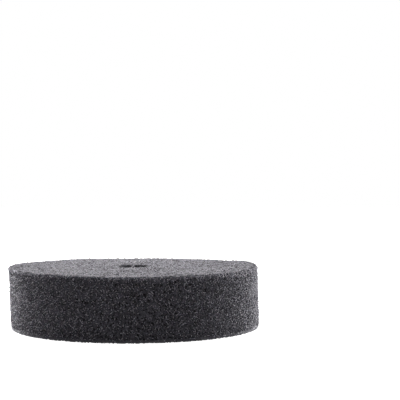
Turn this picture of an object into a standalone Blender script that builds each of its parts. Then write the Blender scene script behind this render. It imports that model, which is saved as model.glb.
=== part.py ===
# A polishing pad: an open-cell foam disc with a centre hole, bonded by an adhesive film to a
# backing disc of loop fabric that grips the hooks of a polisher's plate.
# Metres, +Z up. The origin is the centre of the backing's underside, where the pad rests.
# +Z runs along the pad's axis, out of the working face of the foam.
import math

import bmesh
import bpy

# Driving sizes
foam_diameter = 0.150
foam_height = 0.0346
hole_diameter = 0.020
film_thickness = 0.0003
backing_thickness = 0.0010

# How far the two bonded discs are cut back inside the foam's side
film_inset = 0.0010
backing_inset = 0.0005

# Rounded edges: the working face's rim, the foam's lower rim, the hole's mouth, the backing's rim
face_rim_radius = 0.0024
lower_rim_radius = 0.0008
mouth_radius = 0.0012
backing_rim_radius = 0.0003

# Clearance between bonded layers
layer_gap = 0.0003

# How finely round shapes are cut
turn_steps = 96
rim_steps = 5
backing_rim_steps = 2

# Each layer sits on the one below it
backing_bottom = 0.0
film_bottom = backing_bottom + backing_thickness + layer_gap
foam_bottom = film_bottom + film_thickness + layer_gap


def clear_scene():
    for obj in list(bpy.data.objects):
        bpy.data.objects.remove(obj)


def plain_material(name, color, roughness):
    material = bpy.data.materials.new(name)
    material.use_nodes = True
    surface = material.node_tree.nodes["Principled BSDF"]
    surface.inputs["Base Color"].default_value = (*color, 1.0)
    surface.inputs["Roughness"].default_value = roughness
    surface.inputs["Metallic"].default_value = 0.0
    return material


def place(name, bm, material, bottom, sharp_angle):
    mesh = bpy.data.meshes.new(name)
    bmesh.ops.recalc_face_normals(bm, faces=bm.faces)
    bm.to_mesh(mesh)
    bm.free()
    mesh.shade_smooth()
    mesh.set_sharp_from_angle(angle=math.radians(sharp_angle))
    mesh.materials.append(material)
    obj = bpy.data.objects.new(name, mesh)
    obj.location.z = bottom
    bpy.context.collection.objects.link(obj)
    return obj


def rim(center, radius, start, end):
    # Points along a quarter turn about center, both ends included, angles in degrees
    points = []
    for step in range(rim_steps + 1):
        angle = math.radians(start + (end - start) * step / rim_steps)
        points.append((center[0] + radius * math.cos(angle), center[1] + radius * math.sin(angle)))
    return points


def foam_profile():
    # Half section of the foam as (distance from the axis, height), all the way round
    outer = foam_diameter / 2
    inner = hole_diameter / 2
    top = foam_height
    low = lower_rim_radius
    face = face_rim_radius
    mouth = mouth_radius
    points = [(inner, 0.0)]
    points += rim((outer - low, low), low, -90, 0)
    points += rim((outer - face, top - face), face, 0, 90)
    points += rim((inner + mouth, top - mouth), mouth, 90, 180)
    return points


def make_foam():
    bm = bmesh.new()
    ring = [bm.verts.new((distance, 0.0, height)) for distance, height in foam_profile()]
    edges = [bm.edges.new((ring[i], ring[(i + 1) % len(ring)])) for i in range(len(ring))]
    bmesh.ops.spin(
        bm,
        geom=ring + edges,
        cent=(0.0, 0.0, 0.0),
        axis=(0.0, 0.0, 1.0),
        angle=math.tau,
        steps=turn_steps,
        use_merge=True,
    )
    material = plain_material("open_cell_foam", (0.040, 0.043, 0.048), 0.95)
    return place("foam_disc", bm, material, foam_bottom, 40)


def flat_disc(radius, thickness):
    bm = bmesh.new()
    bmesh.ops.create_circle(bm, cap_ends=True, segments=turn_steps, radius=radius)
    extruded = bmesh.ops.extrude_face_region(bm, geom=list(bm.faces))
    raised = [item for item in extruded["geom"] if isinstance(item, bmesh.types.BMVert)]
    bmesh.ops.translate(bm, vec=(0.0, 0.0, thickness), verts=raised)
    return bm


def make_film():
    bm = flat_disc(foam_diameter / 2 - film_inset, film_thickness)
    material = plain_material("adhesive_film", (0.012, 0.012, 0.013), 0.45)
    return place("adhesive_film", bm, material, film_bottom, 30)


def make_backing():
    bm = flat_disc(foam_diameter / 2 - backing_inset, backing_thickness)
    material = plain_material("loop_fabric", (0.010, 0.010, 0.011), 0.98)
    backing = place("loop_backing", bm, material, backing_bottom, 40)
    bevel = backing.modifiers.new("rounded rim", "BEVEL")
    bevel.width = backing_rim_radius
    bevel.segments = backing_rim_steps
    bevel.limit_method = "ANGLE"
    bevel.angle_limit = math.radians(60)
    return backing


clear_scene()
make_backing()
make_film()
make_foam()
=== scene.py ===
import math

import bpy
import numpy as np
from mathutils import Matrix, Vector


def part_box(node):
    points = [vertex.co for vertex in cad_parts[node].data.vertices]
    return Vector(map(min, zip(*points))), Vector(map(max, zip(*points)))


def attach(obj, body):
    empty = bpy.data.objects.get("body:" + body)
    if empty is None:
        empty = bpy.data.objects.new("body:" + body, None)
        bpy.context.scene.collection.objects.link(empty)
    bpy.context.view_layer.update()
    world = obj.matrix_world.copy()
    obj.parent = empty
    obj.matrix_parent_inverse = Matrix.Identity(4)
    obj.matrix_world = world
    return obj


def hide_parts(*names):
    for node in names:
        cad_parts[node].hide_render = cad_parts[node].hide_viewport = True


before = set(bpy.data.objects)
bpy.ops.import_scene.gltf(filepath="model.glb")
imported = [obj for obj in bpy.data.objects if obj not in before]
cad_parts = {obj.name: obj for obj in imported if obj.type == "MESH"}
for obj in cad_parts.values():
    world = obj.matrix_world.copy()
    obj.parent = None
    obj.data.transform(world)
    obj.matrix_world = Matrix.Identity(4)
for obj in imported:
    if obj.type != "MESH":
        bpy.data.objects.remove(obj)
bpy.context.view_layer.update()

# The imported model's own sizes and places
foamLow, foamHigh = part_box("foam_disc")
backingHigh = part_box("loop_backing")[1]
padTop = foamHigh.z
foamRadius = foamHigh.x
backingRadius = backingHigh.x
holeRadius = min(math.hypot(v.co.x, v.co.y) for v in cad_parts["foam_disc"].data.vertices)


# Node helpers
def addNode(tree, kind, **settings):
    node = tree.nodes.new(kind)
    for name, value in settings.items():
        setattr(node, name, value)
    return node


def feed(tree, target, source):
    if isinstance(source, bpy.types.NodeSocket):
        tree.links.new(source, target)
    else:
        target.default_value = source


def calc(tree, operation, *values):
    node = addNode(tree, "ShaderNodeMath", operation=operation)
    for target, value in zip(node.inputs, values):
        feed(tree, target, value)
    return node.outputs[0]


def vectorCalc(tree, operation, *values, scale=None):
    node = addNode(tree, "ShaderNodeVectorMath", operation=operation)
    for target, value in zip(node.inputs, values):
        feed(tree, target, value)
    if scale is not None:
        feed(tree, node.inputs["Scale"], scale)
    return node.outputs[0]


def ramp(tree, value, low, high, outLow=0.0, outHigh=1.0):
    node = addNode(tree, "ShaderNodeMapRange", interpolation_type="SMOOTHSTEP")
    feed(tree, node.inputs["Value"], value)
    feed(tree, node.inputs["From Min"], low)
    feed(tree, node.inputs["From Max"], high)
    feed(tree, node.inputs["To Min"], outLow)
    feed(tree, node.inputs["To Max"], outHigh)
    return node.outputs["Result"]


def noise(tree, vector, scale, detail=2.0, roughness=0.5):
    node = addNode(tree, "ShaderNodeTexNoise")
    feed(tree, node.inputs["Vector"], vector)
    feed(tree, node.inputs["Scale"], scale)
    node.inputs["Detail"].default_value = detail
    node.inputs["Roughness"].default_value = roughness
    return node


def joinAxes(tree, x=0.0, y=0.0, z=0.0):
    node = addNode(tree, "ShaderNodeCombineXYZ")
    for target, value in zip(node.inputs, (x, y, z)):
        feed(tree, target, value)
    return node.outputs[0]


def splitAxes(tree, vector):
    node = addNode(tree, "ShaderNodeSeparateXYZ")
    feed(tree, node.inputs[0], vector)
    return node.outputs


def roll(tree, low, high, seed):
    # A random number for each point
    node = addNode(tree, "FunctionNodeRandomValue", data_type="FLOAT")
    feed(tree, node.inputs[2], low)
    feed(tree, node.inputs[3], high)
    node.inputs["Seed"].default_value = seed
    return node.outputs[1]


def position(tree):
    return addNode(tree, "GeometryNodeInputPosition").outputs[0]


def readValue(tree, name, kind="FLOAT"):
    node = addNode(tree, "GeometryNodeInputNamedAttribute", data_type=kind)
    node.inputs["Name"].default_value = name
    return node.outputs["Attribute"]


def storeValue(tree, geometry, name, domain, value, kind="FLOAT"):
    node = addNode(tree, "GeometryNodeStoreNamedAttribute", data_type=kind, domain=domain)
    node.inputs["Name"].default_value = name
    feed(tree, node.inputs["Geometry"], geometry)
    feed(tree, node.inputs["Value"], value)
    return node.outputs["Geometry"]


def shift(tree, geometry, **where):
    # Offset moves by, Position moves to
    node = addNode(tree, "GeometryNodeSetPosition")
    feed(tree, node.inputs["Geometry"], geometry)
    for name, value in where.items():
        feed(tree, node.inputs[name], value)
    return node.outputs["Geometry"]


def instance(tree, points, shape, rotation, scale):
    node = addNode(tree, "GeometryNodeInstanceOnPoints")
    feed(tree, node.inputs["Points"], points)
    feed(tree, node.inputs["Instance"], shape)
    feed(tree, node.inputs["Rotation"], rotation)
    feed(tree, node.inputs["Scale"], scale)
    return node.outputs["Instances"]


def turnLocally(tree, rotation, angles):
    spin = addNode(tree, "FunctionNodeEulerToRotation")
    feed(tree, spin.inputs[0], angles)
    node = addNode(tree, "FunctionNodeRotateRotation", rotation_space="LOCAL")
    feed(tree, node.inputs["Rotation"], rotation)
    feed(tree, node.inputs["Rotate By"], spin.outputs[0])
    return node.outputs["Rotation"]


def newTree(kind, name, inputs, outputs):
    # A node group with named sockets, and its two ends
    tree = bpy.data.node_groups.new(name, kind)
    for direction, group in (("INPUT", inputs), ("OUTPUT", outputs)):
        for label, what in group.items():
            tree.interface.new_socket(label, in_out=direction, socket_type="NodeSocket" + what)
    return tree, addNode(tree, "NodeGroupInput").outputs, addNode(tree, "NodeGroupOutput").inputs


def finishTree(tree, geometry, material, out):
    realize = addNode(tree, "GeometryNodeRealizeInstances")
    feed(tree, realize.inputs["Geometry"], geometry)
    dress = addNode(tree, "GeometryNodeSetMaterial")
    feed(tree, dress.inputs["Geometry"], realize.outputs["Geometry"])
    feed(tree, dress.inputs["Material"], material)
    feed(tree, out["Geometry"], dress.outputs["Geometry"])


def runTree(obj, tree, values):
    # Evaluates the tree on obj and returns the result as a plain mesh
    modifier = obj.modifiers.new(tree.name, "NODES")
    modifier.node_group = tree
    for item in tree.interface.items_tree:
        if item.in_out == "INPUT" and item.name in values:
            modifier[item.identifier] = values[item.name]
    graph = bpy.context.evaluated_depsgraph_get()
    mesh = bpy.data.meshes.new_from_object(obj.evaluated_get(graph))
    obj.modifiers.remove(modifier)
    return mesh


# Mesh helpers
def newPiece(name, mesh, material=None):
    mesh.name = name
    obj = bpy.data.objects.new(name, mesh)
    bpy.context.collection.objects.link(obj)
    if material is not None:
        mesh.materials.clear()
        mesh.materials.append(material)
    return obj


def addValues(mesh, name, kind, domain, values):
    layer = mesh.attributes.new(name, kind, domain)
    layer.data.foreach_set("value", values)


def layFlat(mesh):
    # A map that looks straight down on the piece
    spots = np.empty(len(mesh.vertices) * 3)
    mesh.vertices.foreach_get("co", spots)
    corner = np.empty(len(mesh.loops), int)
    mesh.loops.foreach_get("vertex_index", corner)
    flat = spots.reshape(-1, 3)[corner, :2]
    layer = mesh.uv_layers.new(name="OFBake")
    layer.uv.foreach_set("vector", (0.5 + flat / (2.06 * foamRadius)).ravel())


# Materials
fibreLook = {
    "patchScale": 55.0,
    "patchGain": (0.88, 1.12),  # how far the dye varies from patch to patch
    "blendScale": 700.0,  # of the noise, where that blends the colours
    "saltPower": 2.2,  # more of it leaves fewer pale strands
    "roughness": (0.52, 0.78),
    "bumpStrength": 0.25,
    "bumpDistance": 0.0002,
    "sheenRoughness": 0.35,
    "sheenTint": (0.97, 0.92, 1.0, 1.0),
}
# shadeFrom picks what blends the dark colour into strut colour: pit depth, which paints shade into the
# foam's pits, a number for each strand, or noise
finishes = {
    "openCellFoam": {
        # The foam's near-black pit colour is painted shade in its recesses
        "pitShadeAndDarkTone": (0.004, 0.0039, 0.0049),
        "strutColor": (0.072, 0.0705, 0.083),
        "grainScale": 2600.0,
        "contrast": 0.9,
        "sheen": 0.12,
        "gloss": 0.2,
        "shadeFrom": "strut",
    },
    "shadedFaceStrand": {
        # Strands on the face: painted darker and flatter than those on the side, as painted shade against
        # the bright light on the top
        "pitShadeAndDarkTone": (0.0305, 0.0285, 0.0315),
        "strutColor": (0.0407, 0.0380, 0.0420),
        "grainScale": 900.0,
        "contrast": 0.2,
        "sheen": 0.30,
        "gloss": 0.4,
        "shadeFrom": "salt",
    },
    "litWallStrand": {
        # Strands on the side and rim: painted paler and more varied than those on the face, as painted light
        # on the dim side and the rim's bright line
        "pitShadeAndDarkTone": (0.032, 0.0313, 0.0394),
        "strutColor": (0.146, 0.1428, 0.180),
        "grainScale": 900.0,
        "contrast": 0.5,
        "sheen": 1.0,
        "gloss": 0.5,
        "shadeFrom": "salt",
    },
    "shadedDeepStrand": {
        # Strands sunk in the pits: painted darker than the loose ones, for the shade that falls in the pits
        "pitShadeAndDarkTone": (0.010, 0.0098, 0.0123),
        "strutColor": (0.078, 0.0763, 0.096),
        "grainScale": 900.0,
        "contrast": 0.5,
        "sheen": 0.15,
        "gloss": 0.25,
        "shadeFrom": "salt",
    },
    "loopThread": {
        "pitShadeAndDarkTone": (0.006, 0.006, 0.007),
        "strutColor": (0.018, 0.018, 0.020),
        "grainScale": 900.0,
        "contrast": 0.5,
        "sheen": 0.4,
        "gloss": 0.4,
        "shadeFrom": "noise",
    },
    "backingCloth": {
        "pitShadeAndDarkTone": (0.004, 0.004, 0.005),
        "strutColor": (0.012, 0.012, 0.013),
        "grainScale": 1800.0,
        "contrast": 0.6,
        "sheen": 0.2,
        "gloss": 0.3,
        "shadeFrom": "noise",
    },
}
filmLook = {
    "darkColor": (0.010, 0.010, 0.011, 1.0),
    "paleColor": (0.020, 0.021, 0.023, 1.0),
    "flowScale": 260.0,
    "roughness": (0.38, 0.6),
    "bumpStrength": 0.4,
    "bumpDistance": 0.0004,
}


def toneGroup():
    # Dark colour to strut colour, with patchy dye and a fine grain, shared by all the pad's fibres; on the
    # foam the dark colour is painted shade in the pits
    tree, into, out = newTree(
        "ShaderNodeTree",
        "dyeAndPitShade",
        {
            "Vector": "Vector",
            "Strut": "Float",
            "Pit Shade And Dark Tone": "Color",
            "Strut Color": "Color",
            "Grain Scale": "Float",
            "Contrast": "Float",
        },
        {"Color": "Color", "Roughness": "Float", "Height": "Float"},
    )
    patch = noise(tree, into["Vector"], fibreLook["patchScale"], 3.0, 0.6).outputs["Fac"]
    grain = noise(tree, into["Vector"], into["Grain Scale"], 2.0, 0.6).outputs["Fac"]
    blend = addNode(tree, "ShaderNodeMix", data_type="RGBA")
    feed(tree, blend.inputs["Factor"], into["Strut"])
    feed(tree, blend.inputs["A"], into["Pit Shade And Dark Tone"])
    feed(tree, blend.inputs["B"], into["Strut Color"])
    gain = calc(tree, "MULTIPLY_ADD", calc(tree, "SUBTRACT", grain, 0.5), into["Contrast"], 1.0)
    gain = calc(tree, "MULTIPLY", gain, ramp(tree, patch, 0.25, 0.75, *fibreLook["patchGain"]))
    feed(tree, out["Color"], vectorCalc(tree, "SCALE", blend.outputs["Result"], scale=gain))
    feed(tree, out["Roughness"], ramp(tree, grain, 0.3, 0.7, *fibreLook["roughness"]))
    feed(tree, out["Height"], grain)
    return tree


def strutShare(tree, coords, shadeFrom):
    # From 0 at a pit's painted shade, or on a dark strand, to 1 on a strut, or on a pale strand
    if shadeFrom == "noise":
        return ramp(tree, noise(tree, coords, fibreLook["blendScale"]).outputs["Fac"], 0.3, 0.7)
    share = addNode(tree, "ShaderNodeAttribute", attribute_name=shadeFrom).outputs["Fac"]
    if shadeFrom == "salt":
        share = calc(tree, "POWER", calc(tree, "FRACT", share), fibreLook["saltPower"])
    return share


def addBump(tree, surface, height, strength, distance):
    bump = addNode(tree, "ShaderNodeBump")
    bump.inputs["Strength"].default_value = strength
    bump.inputs["Distance"].default_value = distance
    feed(tree, bump.inputs["Height"], height)
    feed(tree, surface.inputs["Normal"], bump.outputs["Normal"])


def newMaterial(name):
    material = bpy.data.materials.new(name)
    material.use_nodes = True
    tree = material.node_tree
    return material, tree, tree.nodes["Principled BSDF"]


def fibreMaterial(name, tone):
    look = finishes[name]
    material, tree, surface = newMaterial(name)
    coords = addNode(tree, "ShaderNodeTexCoord").outputs["Object"]
    group = addNode(tree, "ShaderNodeGroup", node_tree=tone)
    feed(tree, group.inputs["Vector"], coords)
    feed(tree, group.inputs["Strut"], strutShare(tree, coords, look["shadeFrom"]))
    group.inputs["Pit Shade And Dark Tone"].default_value = (*look["pitShadeAndDarkTone"], 1.0)
    group.inputs["Strut Color"].default_value = (*look["strutColor"], 1.0)
    group.inputs["Grain Scale"].default_value = look["grainScale"]
    group.inputs["Contrast"].default_value = look["contrast"]
    addBump(tree, surface, group.outputs["Height"], fibreLook["bumpStrength"], fibreLook["bumpDistance"])
    feed(tree, surface.inputs["Base Color"], group.outputs["Color"])
    feed(tree, surface.inputs["Roughness"], group.outputs["Roughness"])
    surface.inputs["Specular IOR Level"].default_value = look["gloss"]
    surface.inputs["Sheen Weight"].default_value = look["sheen"]
    surface.inputs["Sheen Roughness"].default_value = fibreLook["sheenRoughness"]
    surface.inputs["Sheen Tint"].default_value = fibreLook["sheenTint"]
    return material


def filmMaterial():
    # Melted adhesive: smooth, dark, faintly dimpled
    material, tree, surface = newMaterial("fusedFilm")
    coords = addNode(tree, "ShaderNodeTexCoord").outputs["Object"]
    flow = noise(tree, coords, filmLook["flowScale"], 3.0, 0.55).outputs["Fac"]
    shade = addNode(tree, "ShaderNodeMix", data_type="RGBA")
    feed(tree, shade.inputs["Factor"], flow)
    shade.inputs["A"].default_value = filmLook["darkColor"]
    shade.inputs["B"].default_value = filmLook["paleColor"]
    addBump(tree, surface, flow, filmLook["bumpStrength"], filmLook["bumpDistance"])
    feed(tree, surface.inputs["Base Color"], shade.outputs["Result"])
    feed(tree, surface.inputs["Roughness"], ramp(tree, flow, 0.3, 0.7, *filmLook["roughness"]))
    return material


# Foam
foamShape = {
    "grain": 0.00042,  # between neighbouring mesh points
    "rimRadius": 0.0021,
    "rimUneven": 0.0010,  # softer on +X, sharper on -X
    "mouthRadius": 0.0012,
    "lipDrop": 0.0017,  # the lower edge sags past the film
    "lipWidth": 0.0005,
    "tuck": 0.0004,  # how far the side turns in at its foot
    "underRings": (0.022, 0.040, 0.056, 0.068),
    "underShare": 0.7,  # of the points round that the grain would give the underside
    "lipSteps": 5,
    "rimSteps": 9,
    "looseRimSteps": 5,  # the lowest of them carry loose strands
    "mouthSteps": 5,
    "holeStretch": 1.3,  # between rows in the hole, in grains
    "jitter": 0.2,  # how far a mesh point strays, in grains
    "lean": 0.036,  # sideways per height, towards -X
    "outOfRound": 0.0016,
    "faceWave": 0.00022,
    "ragged": 0.00015,  # up and down along the worn rim
    "wornReach": 0.0035,
    "swellFrom": 0.6,  # share of the radius where the rim starts to swell
    "swells": (  # where in degrees, how wide in degrees, how high
        (12, 24, 0.0023),
        (172, 25, 0.0006),
    ),
    "tufts": (  # x, y, height and spread of the bumps on the hole's lip
        (0.0004, -0.0108, 0.0019, 0.0009),
        (-0.0078, -0.0072, 0.0008, 0.0022),
        (0.0088, -0.0060, 0.0004, 0.0016),
    ),
    "openness": {  # how far the cells open, and how dark the painted pit shade is, in each stretch of the half section
        "under": 0.0,
        "lip": 0.25,
        "wall": 1.0,
        "rim": 1.0,
        "face": 0.45,
        "mouth": 1.0,
        "hole": 0.35,
    },
    "seed": 11,
}
zoneNumbers = {"wall": 0, "face": 1, "hole": 2, "under": 3, "rim": 4}
mapShape = {
    "side": 0.278,  # metres across the whole map
    "margin": 0.003,
    "stripRise": 0.0385,  # between the side's strips
    "holeRise": 0.012,
    "underScale": 0.75,
}
# Capitalised names are the tree's inputs, the others are fixed in it
openCells = {
    "Cell Size": 0.0018,
    "Pit Depth": 0.0028,
    "Strut Width": 0.27,
    "Fuzz Height": 0.00022,
    "windingScale": 0.9,  # waves in a cell
    "winding": 1.3,  # how far the struts wander, in cells
    "fuzzScale": 3.4,  # waves in a cell
}


def foamRows():
    # The foam's half section, row by row: (kind, position along it, number of points round, zone)
    grain = foamShape["grain"]
    inner = holeRadius + foamShape["mouthRadius"]
    rows = []

    def count(radius):
        return max(24, int(round(math.tau * radius / grain)))

    def faceCount(share):
        return count(foamRadius + (inner - foamRadius) * share)

    def rimZone(step):
        return "rim" if step < foamShape["looseRimSteps"] else "face"

    def addRows(kind, steps, countAt, zoneAt):
        for step in range(steps):
            rows.append((kind, step / steps, countAt(step / steps), zoneNumbers[zoneAt(step)]))

    around = count(foamRadius)
    for radius in (holeRadius, *foamShape["underRings"]):
        number = max(96, int(radius / foamRadius * around * foamShape["underShare"]))
        rows.append(("under", radius, number, zoneNumbers["under"]))
    addRows("lip", foamShape["lipSteps"], lambda share: around, lambda step: "under" if step < 2 else "wall")
    wallSteps = int((padTop - foamLow.z - foamShape["rimRadius"]) / grain)
    addRows("wall", wallSteps, lambda share: around, lambda step: "wall")
    addRows("rim", foamShape["rimSteps"], lambda share: around, rimZone)
    faceSteps = int((foamRadius - foamShape["rimRadius"] - inner) / grain)
    addRows("face", faceSteps, faceCount, lambda step: "face")
    addRows("mouth", foamShape["mouthSteps"], lambda share: count(inner), lambda step: "face")
    holeSteps = int((padTop - foamLow.z) / grain / foamShape["holeStretch"])
    addRows("hole", holeSteps, lambda share: count(holeRadius), lambda step: "hole")
    return rows


def rowPoints(kind, along, angle):
    # Radius and height of a row at each angle
    rim = foamShape["rimRadius"] + foamShape["rimUneven"] * np.cos(angle)
    mouth = foamShape["mouthRadius"]
    halfLip = foamShape["lipWidth"] / 2
    bottom = foamLow.z
    same = np.ones_like(angle)
    if kind == "under":
        return along * same, bottom * same
    if kind == "lip":
        turn = math.pi * (along - 1)
        out = foamRadius - foamShape["tuck"] - halfLip + halfLip * math.cos(turn)
        return out * same, (bottom + foamShape["lipDrop"] * math.sin(turn)) * same
    if kind == "wall":
        out = foamRadius - foamShape["tuck"] * (1 - along) ** 16
        return out * same, bottom + (padTop - rim - bottom) * along
    if kind == "rim":
        turn = math.pi / 2 * along
        return foamRadius - rim + rim * math.cos(turn), padTop - rim + rim * math.sin(turn)
    if kind == "face":
        start = foamRadius - rim
        return start + (holeRadius + mouth - start) * along, padTop * same
    if kind == "mouth":
        turn = math.pi / 2 * (1 + along)
        out = holeRadius + mouth + mouth * math.cos(turn)
        return out * same, (padTop - mouth + mouth * math.sin(turn)) * same
    return holeRadius * same, (padTop - mouth + (bottom - padTop + mouth) * along) * same


def stitch(lower, upper, triangles):
    # Joins two rings of points, each (first index, number, shift), whatever their numbers
    (lowFirst, lowCount, lowShift), (upFirst, upCount, upShift) = lower, upper
    low = up = 0
    while low < lowCount or up < upCount:
        nextLow = (low + 1 + lowShift) / lowCount
        nextUp = (up + 1 + upShift) / upCount
        here, there = lowFirst + low % lowCount, upFirst + up % upCount
        if up >= upCount or (low < lowCount and nextLow <= nextUp):
            low += 1
            triangles.append((here, lowFirst + low % lowCount, there))
        else:
            up += 1
            triangles.append((here, upFirst + up % upCount, there))


def foamBlank():
    # The foam as cut from the block: round, hollow, a little uneven, its cells not yet open
    dice = np.random.default_rng(foamShape["seed"])
    grain = foamShape["grain"]
    jitter = foamShape["jitter"]
    places, opened, triangles, zones, rings, spread = [], [], [], [], [], []
    first = 0
    for number, (kind, along, count, zone) in enumerate(foamRows()):
        offset = 0.5 * (number % 2)
        angle = math.tau * (np.arange(count) + offset) / count
        radius, height = rowPoints(kind, along, angle)
        if kind in ("wall", "face", "hole", "rim"):
            angle = angle + dice.uniform(-jitter, jitter, count) * grain / np.maximum(radius, holeRadius)
        if kind == "wall" and along > 0:
            height = height + dice.uniform(-jitter, jitter, count) * grain
        if kind == "face" and along > 0:
            radius = radius + dice.uniform(-jitter, jitter, count) * grain
        places.append(np.stack([radius * np.cos(angle), radius * np.sin(angle), height], 1))
        out = radius
        if kind == "rim":
            out = foamRadius + foamShape["rimRadius"] * (math.pi / 2 * (1 - along) - 1)
        spread.append(np.stack([angle, out * np.ones(count), height], 1))
        opened.append(np.full(count, foamShape["openness"][kind]))
        rings.append((first, count, offset, zone))
        first += count
    for here, there in zip(rings, rings[1:] + rings[:1]):
        before = len(triangles)
        stitch(here[:3], there[:3], triangles)
        zones += [here[3]] * (len(triangles) - before)
    mesh = bpy.data.meshes.new("foamBlank")
    mesh.from_pydata(uneven(np.concatenate(places)).tolist(), [], triangles)
    mesh.shade_smooth()
    addValues(mesh, "open", "FLOAT", "POINT", np.concatenate(opened))
    addValues(mesh, "zone", "INT", "FACE", np.array(zones))
    layer = mesh.uv_layers.new(name="OFBake")
    layer.uv.foreach_set("vector", foamMap(np.concatenate(spread), triangles, zones).ravel())
    return mesh


def foamMap(spread, triangles, zones):
    # Flat layout of the foam: face and underside as discs, the side as four strips, the hole as one
    corners = spread[np.array(triangles)]
    angle, out, height = corners[..., 0], corners[..., 1], corners[..., 2] - foamLow.z
    first = angle[:, :1]
    middle = first + (np.mod(angle - first + math.pi, math.tau) - math.pi).mean(1, keepdims=True)
    middle = np.mod(middle, math.tau)
    turn = np.mod(angle, math.tau)
    turn = middle + np.mod(turn - middle + math.pi, math.tau) - math.pi
    quarter = math.tau / 4
    strip = np.floor(middle / quarter)
    zone = np.array(zones)[:, None] * np.ones((1, 3))
    margin = mapShape["margin"]
    disc = foamRadius + margin
    acrossDisc = disc + out * np.cos(angle)
    upDisc = disc + out * np.sin(angle)
    acrossStrip = 2 * disc + margin + foamRadius * (turn - strip * quarter)
    upStrip = margin + mapShape["stripRise"] * strip + height
    acrossUnder = mapShape["underScale"] * acrossDisc
    upUnder = 2 * disc + mapShape["underScale"] * upDisc
    acrossHole = 2 * disc + holeRadius * turn
    upHole = 2 * disc + mapShape["holeRise"] + height
    layout = {
        "face": (acrossDisc, upDisc),
        "rim": (acrossDisc, upDisc),
        "wall": (acrossStrip, upStrip),
        "under": (acrossUnder, upUnder),
        "hole": (acrossHole, upHole),
    }
    u, v = np.zeros(zone.shape), np.zeros(zone.shape)
    for name, (across, up) in layout.items():
        u = np.where(zone == zoneNumbers[name], across, u)
        v = np.where(zone == zoneNumbers[name], up, v)
    return np.stack([u, v], 2) / mapShape["side"]


def uneven(place):
    # A soft disc is never quite round, level or upright
    x, y, z = place.T.copy()
    rise = (z - foamLow.z) / (padTop - foamLow.z)
    share = np.clip(rise, 0, 1)
    angle = np.arctan2(y, x)
    reach = np.hypot(x, y)
    lobes = np.sin(2 * angle + 0.7) + 0.7 * np.sin(3 * angle + 2.1) * rise
    swell = 1 + foamShape["outOfRound"] * lobes / 2
    wave = np.sin(63 * x + 1.3) * np.cos(49 * y - 0.4)
    wave = wave + 0.7 * np.sin(121 * x - 37 * y) * np.cos(97 * y + 2.0)
    level = z + foamShape["faceWave"] * wave * share**3
    for tuftX, tuftY, tuftHeight, tuftSpread in foamShape["tufts"]:
        away = ((x - tuftX) ** 2 + (y - tuftY) ** 2) / tuftSpread**2
        level = level + tuftHeight * np.exp(-away) * share**12
    swellFrom = foamShape["swellFrom"]
    outward = np.clip((reach / foamRadius - swellFrom) / (1 - swellFrom), 0, 1)
    for middle, width, height in foamShape["swells"]:
        off = np.mod(np.degrees(angle) - middle + 180, 360) - 180
        level = level + height * np.exp(-((off / width) ** 2)) * outward**2 * share
    nicks = np.sin(71 * angle + 0.4) + np.sin(113 * angle + 2.2) + np.sin(167 * angle + 4.1)
    nicks = nicks + np.sin(209 * angle + 1.1)
    worn = foamShape["wornReach"]
    nearRim = np.exp(-(((reach - foamRadius) / worn) ** 2) - ((z - padTop) / worn) ** 2)
    level = level + foamShape["ragged"] * nicks * nearRim / 2
    side = x * swell - foamShape["lean"] * np.clip(z - foamLow.z, 0, None)
    return np.stack([side, y * swell, level], 1)


def openCellTree():
    # Sinks pits between winding struts into an open surface
    tree, into, out = newTree(
        "GeometryNodeTree",
        "openCells",
        {
            "Geometry": "Geometry",
            "Cell Size": "Float",
            "Pit Depth": "Float",
            "Strut Width": "Float",
            "Fuzz Height": "Float",
            "Material": "Material",
        },
        {"Geometry": "Geometry"},
    )
    cell = vectorCalc(tree, "SCALE", position(tree), scale=calc(tree, "DIVIDE", 1.0, into["Cell Size"]))
    winding = noise(tree, cell, openCells["windingScale"], 1.0).outputs["Color"]
    winding = vectorCalc(tree, "SUBTRACT", winding, (0.5, 0.5, 0.5))
    bent = vectorCalc(tree, "ADD", cell, vectorCalc(tree, "SCALE", winding, scale=openCells["winding"]))
    walls = addNode(tree, "ShaderNodeTexVoronoi", feature="DISTANCE_TO_EDGE")
    feed(tree, walls.inputs["Vector"], bent)
    walls.inputs["Scale"].default_value = 1.0
    strut = ramp(tree, walls.outputs["Distance"], 0.0, into["Strut Width"], 1.0, 0.0)
    sunk = calc(tree, "SUBTRACT", strut, 1.0)
    fuzz = noise(tree, cell, openCells["fuzzScale"], 2.0, 0.6).outputs["Fac"]
    fuzz = calc(tree, "SUBTRACT", fuzz, 0.5)
    depth = calc(tree, "MULTIPLY", sunk, into["Pit Depth"])
    height = calc(tree, "MULTIPLY_ADD", fuzz, into["Fuzz Height"], depth)
    isOpen = readValue(tree, "open")
    height = calc(tree, "MULTIPLY", height, isOpen)
    # Painted shade in the pits: the colour darkens towards each pit's bottom, less where the cells open less
    shade = calc(tree, "MULTIPLY_ADD", sunk, isOpen, 1.0)
    shaded = storeValue(tree, into["Geometry"], "strut", "POINT", shade)
    normal = addNode(tree, "GeometryNodeInputNormal").outputs[0]
    pushed = shift(tree, shaded, Offset=vectorCalc(tree, "SCALE", normal, scale=height))
    finishTree(tree, pushed, into["Material"], out)
    return tree


# Loose strands
strands = {
    "Length": 0.0014,
    "Curl": 0.0013,
    "Tilt": 0.40,
    "Points": 4,
    "Thickness": 0.00018,  # radius at the middle
    "mostDense": 3.0e6,  # a square metre
    "depthSpread": 0.00015,
    "lengthSpread": (0.55, 1.35),
    "bendScale": 800.0,
    "endShare": 0.4,  # radius at the ends, as a share of the middle's
    "mapEdge": 0.1,  # left empty round each strand's square on the map
}
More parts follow.
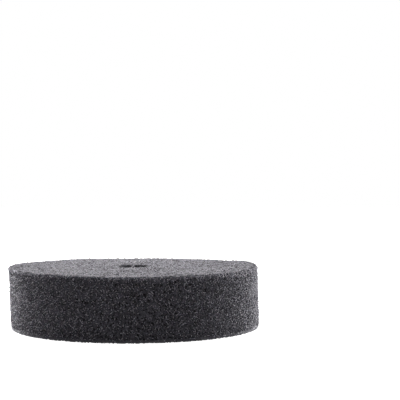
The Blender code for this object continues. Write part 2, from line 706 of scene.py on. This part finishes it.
# Apart is their least spacing, Rise how far they lie outside the cut
strandLayers = {
    "face_deep": {
        "Zone": zoneNumbers["face"], "Apart": 0.00105, "Rise": -0.0004, "Seed": 3,
        "Tilt": 0.15, "Curl": 0.0008,
    },
    "face_loose": {
        "Zone": zoneNumbers["face"], "Apart": 0.00105, "Rise": -0.0002, "Seed": 4,
        "Tilt": 0.04, "Curl": 0.0005, "Thickness": 0.00022, "finish": "shadedFaceStrand",
    },
    "wall_deep": {
        "Zone": zoneNumbers["wall"], "Apart": 0.00110, "Rise": -0.0007, "Seed": 5,
    },
    "wall_loose": {
        "Zone": zoneNumbers["wall"], "Apart": 0.00110, "Rise": -0.0001, "Seed": 6,
        "Tilt": 0.30, "Curl": 0.0011, "Length": 0.0011, "Thickness": 0.00026, "finish": "litWallStrand",
    },
    "rim_deep": {
        "Zone": zoneNumbers["rim"], "Apart": 0.00100, "Rise": -0.0005, "Seed": 8,
    },
    # The rim's loose strands take the paler side strands, for a painted bright line along the rim
    "rim_loose": {
        "Zone": zoneNumbers["rim"], "Apart": 0.00085, "Rise": 0.0001, "Seed": 9, "Points": 5,
        "Tilt": 0.55, "Curl": 0.0012, "Length": 0.0018, "Thickness": 0.00020, "finish": "litWallStrand",
    },
    "hole_loose": {
        "Zone": zoneNumbers["hole"], "Apart": 0.00140, "Rise": -0.0002, "Seed": 7, "Points": 5,
    },
}


def strandTree():
    # Scatters short curled strands over one zone of the foam
    tree, into, out = newTree(
        "GeometryNodeTree",
        "looseStrands",
        {
            "Geometry": "Geometry",
            "Zone": "Int",
            "Apart": "Float",
            "Length": "Float",
            "Thickness": "Float",
            "Curl": "Float",
            "Tilt": "Float",
            "Rise": "Float",
            "Points": "Int",
            "Seed": "Int",
            "Material": "Material",
        },
        {"Geometry": "Geometry"},
    )
    inZone = addNode(tree, "FunctionNodeCompare", data_type="INT", operation="EQUAL")
    feed(tree, inZone.inputs[2], readValue(tree, "zone", "INT"))
    feed(tree, inZone.inputs[3], into["Zone"])
    scatter = addNode(tree, "GeometryNodeDistributePointsOnFaces", distribute_method="POISSON")
    feed(tree, scatter.inputs["Mesh"], into["Geometry"])
    feed(tree, scatter.inputs["Selection"], inZone.outputs["Result"])
    feed(tree, scatter.inputs["Distance Min"], into["Apart"])
    scatter.inputs["Density Max"].default_value = strands["mostDense"]
    feed(tree, scatter.inputs["Seed"], into["Seed"])
    spread = strands["depthSpread"]
    depth = calc(tree, "ADD", roll(tree, -spread, spread, 1), into["Rise"])
    sink = vectorCalc(tree, "SCALE", scatter.outputs["Normal"], scale=depth)
    settled = shift(tree, scatter.outputs["Points"], Offset=sink)
    placed = instance(
        tree,
        settled,
        straightLine(tree, into["Length"], into["Points"]),
        turnLocally(tree, scatter.outputs["Rotation"], strandTurn(tree, into["Tilt"])),
        joinAxes(tree, roll(tree, *strands["lengthSpread"], 4), 1.0, 1.0),
    )
    salted = storeValue(tree, placed, "salt", "INSTANCE", roll(tree, 0.0, 40.0, 5))
    index = addNode(tree, "GeometryNodeInputIndex").outputs[0]
    loose = addNode(tree, "GeometryNodeRealizeInstances")
    feed(tree, loose.inputs["Geometry"], storeValue(tree, salted, "number", "INSTANCE", index))
    bent = shift(tree, loose.outputs["Geometry"], Offset=swayBy(tree, into["Curl"]))
    # What would dip below the pad's resting plane lies on it
    spot = splitAxes(tree, position(tree))
    lowest = calc(tree, "MAXIMUM", spot["Z"], into["Thickness"])
    pressed = shift(tree, bent, Position=joinAxes(tree, spot["X"], spot["Y"], lowest))
    total = addNode(tree, "GeometryNodeAttributeDomainSize", component="INSTANCES")
    feed(tree, total.inputs["Geometry"], placed)
    tube = strandTube(tree, pressed, into["Thickness"])
    mapped = strandMap(tree, tube, total.outputs["Instance Count"])
    finishTree(tree, mapped, into["Material"], out)
    return tree


def straightLine(tree, length, number):
    line = addNode(tree, "GeometryNodeCurvePrimitiveLine")
    half = calc(tree, "MULTIPLY", length, 0.5)
    for end, sign in (("Start", -1.0), ("End", 1.0)):
        feed(tree, line.inputs[end], joinAxes(tree, calc(tree, "MULTIPLY", half, sign)))
    points = addNode(tree, "GeometryNodeResampleCurve", mode="COUNT")
    feed(tree, points.inputs["Curve"], line.outputs["Curve"])
    feed(tree, points.inputs["Count"], number)
    return points.outputs["Curve"]


def strandTurn(tree, tilt):
    # Any direction along the surface, most strands lying nearly flat on it
    lift = calc(tree, "POWER", roll(tree, 0.0, 1.0, 2), 2.0)
    return joinAxes(tree, 0.0, calc(tree, "MULTIPLY", lift, tilt), roll(tree, 0.0, math.tau, 3))


def swayBy(tree, curl):
    # Each strand bends its own way
    sway = addNode(tree, "ShaderNodeTexNoise", noise_dimensions="4D")
    feed(tree, sway.inputs["Vector"], position(tree))
    feed(tree, sway.inputs["W"], readValue(tree, "salt"))
    sway.inputs["Scale"].default_value = strands["bendScale"]
    sway.inputs["Detail"].default_value = 0.0
    centred = vectorCalc(tree, "SUBTRACT", sway.outputs["Color"], (0.5, 0.5, 0.5))
    return vectorCalc(tree, "SCALE", centred, scale=curl)


def strandTube(tree, curves, thickness):
    # Three-sided and tapered; along and round say where a corner lies on the strand
    along = addNode(tree, "GeometryNodeSplineParameter").outputs["Factor"]
    taper = calc(tree, "SINE", calc(tree, "MULTIPLY", along, math.pi))
    profile = addNode(tree, "GeometryNodeCurvePrimitiveCircle")
    profile.inputs["Resolution"].default_value = 3
    profile.inputs["Radius"].default_value = 1.0
    around = calc(tree, "MULTIPLY", addNode(tree, "GeometryNodeInputIndex").outputs[0], 0.5)
    outline = storeValue(tree, profile.outputs["Curve"], "round", "POINT", around)
    tube = addNode(tree, "GeometryNodeCurveToMesh")
    feed(tree, tube.inputs["Curve"], storeValue(tree, curves, "along", "POINT", along))
    ends = strands["endShare"]
    thick = calc(tree, "MULTIPLY", calc(tree, "MULTIPLY_ADD", taper, 1 - ends, ends), thickness)
    feed(tree, tube.inputs["Scale"], thick)
    feed(tree, tube.inputs["Profile Curve"], outline)
    tube.inputs["Fill Caps"].default_value = True
    return tube.outputs["Mesh"]


def strandMap(tree, mesh, count):
    # Each strand has a square of its own on the map
    across = calc(tree, "CEIL", calc(tree, "SQRT", count))
    strand = readValue(tree, "number")
    edge = strands["mapEdge"]
    column = calc(tree, "ADD", calc(tree, "MODULO", strand, across), edge)
    row = calc(tree, "ADD", calc(tree, "FLOOR", calc(tree, "DIVIDE", strand, across)), edge)
    column = calc(tree, "MULTIPLY_ADD", readValue(tree, "along"), 1 - 2 * edge, column)
    row = calc(tree, "MULTIPLY_ADD", readValue(tree, "round"), 1 - 2 * edge, row)
    flat = joinAxes(tree, calc(tree, "DIVIDE", column, across), calc(tree, "DIVIDE", row, across))
    return storeValue(tree, mesh, "OFBake", "CORNER", flat, "FLOAT2")


# Loop backing
clothShape = {
    "thickness": 0.0005,
    "inset": 0.0008,  # from the edge of the backing's solid
    "edgeSteps": 256,
    "edgeRound": (0.00018, 0.00012),  # across and up
    "fray": 0.00018,
    "seed": 23,
}
loops = {
    "Density": 0.34e6,  # a square metre
    "Height": 0.00043,
    "Width": 0.0011,
    "Thread": 0.00009,
    "Lean": 0.7,
    "Seed": 31,
    "widthSpread": (0.75, 1.25),
    "heightSpread": (0.55, 0.95),
}


def clothDisc():
    # A thin round of cloth whose cut edge is a little frayed
    dice = np.random.default_rng(clothShape["seed"])
    steps = clothShape["edgeSteps"]
    across, up = clothShape["edgeRound"]
    top = backingHigh.z
    low = top - clothShape["thickness"]
    angle = math.tau * np.arange(steps) / steps
    edge = backingRadius - clothShape["inset"] + clothShape["fray"] * dice.uniform(-1, 1, steps)
    section = [(0.35 * edge, low), (0.7 * edge, low), (edge - across, low), (edge, low + up)]
    section += [(edge, top - up), (edge - across, top), (0.7 * edge, top), (0.35 * edge, top)]
    rings = []
    for radius, height in section:
        rings.append(np.stack([radius * np.cos(angle), radius * np.sin(angle), np.full(steps, height)], 1))
    points = np.concatenate([*rings, [[0, 0, low], [0, 0, top]]])
    lowCentre, topCentre = len(points) - 2, len(points) - 1
    last = (len(rings) - 1) * steps
    faces = []
    for ring in range(len(rings) - 1):
        here, there = ring * steps, (ring + 1) * steps
        for step in range(steps):
            after = (step + 1) % steps
            faces.append((here + step, here + after, there + after, there + step))
    for step in range(steps):
        after = (step + 1) % steps
        faces.append((after, step, lowCentre))
        faces.append((last + step, last + after, topCentre))
    mesh = bpy.data.meshes.new("clothDisc")
    mesh.from_pydata(points.tolist(), [], faces)
    mesh.shade_smooth()
    return mesh


def loopTree():
    # Leaning loops of thread that hang from the cloth's underside
    tree, into, out = newTree(
        "GeometryNodeTree",
        "threadLoops",
        {
            "Geometry": "Geometry",
            "Density": "Float",
            "Height": "Float",
            "Width": "Float",
            "Thread": "Float",
            "Lean": "Float",
            "Seed": "Int",
            "Material": "Material",
        },
        {"Geometry": "Geometry"},
    )
    facing = splitAxes(tree, addNode(tree, "GeometryNodeInputNormal").outputs["True Normal"])
    scatter = addNode(
        tree, "GeometryNodeDistributePointsOnFaces", distribute_method="RANDOM", use_legacy_normal=True
    )
    feed(tree, scatter.inputs["Mesh"], into["Geometry"])
    feed(tree, scatter.inputs["Selection"], calc(tree, "LESS_THAN", facing["Z"], -0.999))
    feed(tree, scatter.inputs["Density"], into["Density"])
    feed(tree, scatter.inputs["Seed"], into["Seed"])
    lean = calc(tree, "MULTIPLY", roll(tree, -1.0, 1.0, 1), into["Lean"])
    turn = joinAxes(tree, lean, 0.0, roll(tree, 0.0, math.tau, 2))
    across = [roll(tree, *loops["widthSpread"], seed) for seed in (3, 4)]
    placed = instance(
        tree,
        scatter.outputs["Points"],
        threadLoop(tree, into["Width"], into["Height"], into["Thread"]),
        turnLocally(tree, scatter.outputs["Rotation"], turn),
        joinAxes(tree, *across, roll(tree, *loops["heightSpread"], 5)),
    )
    finishTree(tree, placed, into["Material"], out)
    return tree


def threadLoop(tree, width, height, thread):
    arch = addNode(tree, "GeometryNodeCurvePrimitiveBezierSegment")
    arch.inputs["Resolution"].default_value = 5
    for name, side, rise in (
        ("Start", -0.5, 0.0),
        ("Start Handle", -0.75, 1.3),
        ("End Handle", 0.75, 1.3),
        ("End", 0.5, 0.0),
    ):
        across = calc(tree, "MULTIPLY", width, side)
        feed(tree, arch.inputs[name], joinAxes(tree, across, 0.0, calc(tree, "MULTIPLY", height, rise)))
    profile = addNode(tree, "GeometryNodeCurvePrimitiveCircle")
    profile.inputs["Resolution"].default_value = 3
    feed(tree, profile.inputs["Radius"], thread)
    tube = addNode(tree, "GeometryNodeCurveToMesh")
    feed(tree, tube.inputs["Curve"], arch.outputs["Curve"])
    feed(tree, tube.inputs["Profile Curve"], profile.outputs["Curve"])
    tube.inputs["Fill Caps"].default_value = True
    return tube.outputs["Mesh"]


# Studio
camera = {
    "distance": 0.655,  # from the pad's axis
    "height": 0.0877,
    "aside": 0.0391,  # to the right of the pad's axis
    "tiltDown": 0.95,  # degrees
    "lens": 96.9,
}
lamps = {
    "overhead": {"place": (0.0, 0.04, 0.75), "target": (0, 0, 0), "size": (0.9, 0.9), "power": 10.2},
    "back": {"place": (0.0, 1.00, 0.42), "target": (0, 0, 0.02), "size": (2.2, 0.8), "power": 11.0},
    "left": {"place": (-0.70, 0.80, 0.17), "target": (0, 0, 0.02), "size": (0.8, 0.30), "power": 48.0},
    "right": {"place": (0.83, 0.64, 0.17), "target": (0, 0, 0.02), "size": (0.8, 0.30), "power": 29.5},
    "front": {"place": (0.1, -1.0, 0.55), "target": (0, 0, 0.02), "size": (0.8, 0.4), "power": 1.4},
}
room = {
    "sky": 0.08,
    "floorTone": 0.47,
    "floorWhite": 1.0,  # added to what the camera sees of the floor
    "floorSize": 6.0,
}


def areaLight(name, place, target, size, power):
    data = bpy.data.lights.new(name, "AREA")
    data.shape = "RECTANGLE"
    data.size, data.size_y = size
    data.energy = power
    light = bpy.data.objects.new(name, data)
    bpy.context.collection.objects.link(light)
    light.location = place
    light.rotation_mode = "QUATERNION"
    light.rotation_quaternion = (Vector(target) - Vector(place)).to_track_quat("-Z", "Y")


def makeSky():
    # White to the camera, dim to everything it lights
    world = bpy.data.worlds.new("paleRoom")
    bpy.context.scene.world = world
    world.use_nodes = True
    tree = world.node_tree
    tree.nodes.clear()
    mix = addNode(tree, "ShaderNodeMixShader")
    feed(tree, mix.inputs[0], addNode(tree, "ShaderNodeLightPath").outputs["Is Camera Ray"])
    for slot, strength in ((1, room["sky"]), (2, 1.0)):
        shade = addNode(tree, "ShaderNodeBackground")
        shade.inputs["Color"].default_value = (1, 1, 1, 1)
        shade.inputs["Strength"].default_value = strength
        feed(tree, mix.inputs[slot], shade.outputs[0])
    feed(tree, addNode(tree, "ShaderNodeOutputWorld").inputs["Surface"], mix.outputs[0])


def floorMaterial():
    material, tree, surface = newMaterial("paleFloor")
    tone = room["floorTone"]
    surface.inputs["Base Color"].default_value = (tone, tone, tone, 1)
    surface.inputs["Roughness"].default_value = 0.8
    surface.inputs["Specular IOR Level"].default_value = 0.2
    surface.inputs["Emission Color"].default_value = (1, 1, 1, 1)
    seen = addNode(tree, "ShaderNodeLightPath").outputs["Is Camera Ray"]
    feed(tree, surface.inputs["Emission Strength"], calc(tree, "MULTIPLY", seen, room["floorWhite"]))
    return material


def makeFloor():
    half = room["floorSize"] / 2
    corners = [(-half, -half, 0), (half, -half, 0), (half, half, 0), (-half, half, 0)]
    mesh = bpy.data.meshes.new("floor")
    mesh.from_pydata(corners, [], [(0, 1, 2, 3)])
    newPiece("floor", mesh, floorMaterial())


def makeCamera():
    data = bpy.data.cameras.new("camera")
    data.lens = camera["lens"]
    data.sensor_width = 36.0
    data.clip_start, data.clip_end = 0.01, 50.0
    seen = bpy.data.objects.new("camera", data)
    bpy.context.collection.objects.link(seen)
    seen.location = (camera["aside"], -camera["distance"], camera["height"])
    seen.rotation_euler = (math.radians(90 - camera["tiltDown"]), 0, 0)
    bpy.context.scene.camera = seen


# Build
makeCamera()
bpy.context.scene.view_settings.view_transform = "Standard"
makeSky()
for name, lamp in lamps.items():
    areaLight(name, **lamp)
makeFloor()
print("studio and camera ready")

tone = toneGroup()
looks = {name: fibreMaterial(name, tone) for name in finishes}
print("materials:", ", ".join(looks))

blank = newPiece("foamBlank", foamBlank())
print("foam blank:", len(blank.data.polygons), "faces")
foam = newPiece("foam", runTree(blank, openCellTree(), {**openCells, "Material": looks["openCellFoam"]}))
print("open cells cut")
strandNodes = strandTree()
strandPieces = []
for name, layer in strandLayers.items():
    # Layers that name no material take the deep strands, whose darker colour is painted pit shade
    values = {**strands, **layer, "Material": looks[layer.get("finish", "shadedDeepStrand")]}
    strandPieces.append(newPiece("strands_" + name, runTree(blank, strandNodes, values)))
    print(name, len(strandPieces[-1].data.polygons), "faces")
bpy.data.objects.remove(blank)

cloth = newPiece("backing_cloth", clothDisc(), looks["backingCloth"])
pile = newPiece("backing_loops", runTree(cloth, loopTree(), {**loops, "Material": looks["loopThread"]}))
for piece in (cloth, pile):
    layFlat(piece.data)
print("backing:", len(pile.data.polygons), "loop faces")
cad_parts["adhesive_film"].material_slots[0].material = filmMaterial()

for piece in (foam, *strandPieces, cloth, pile):
    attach(piece, "root")
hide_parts("foam_disc")
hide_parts("loop_backing")
print("pieces joined to the frame")
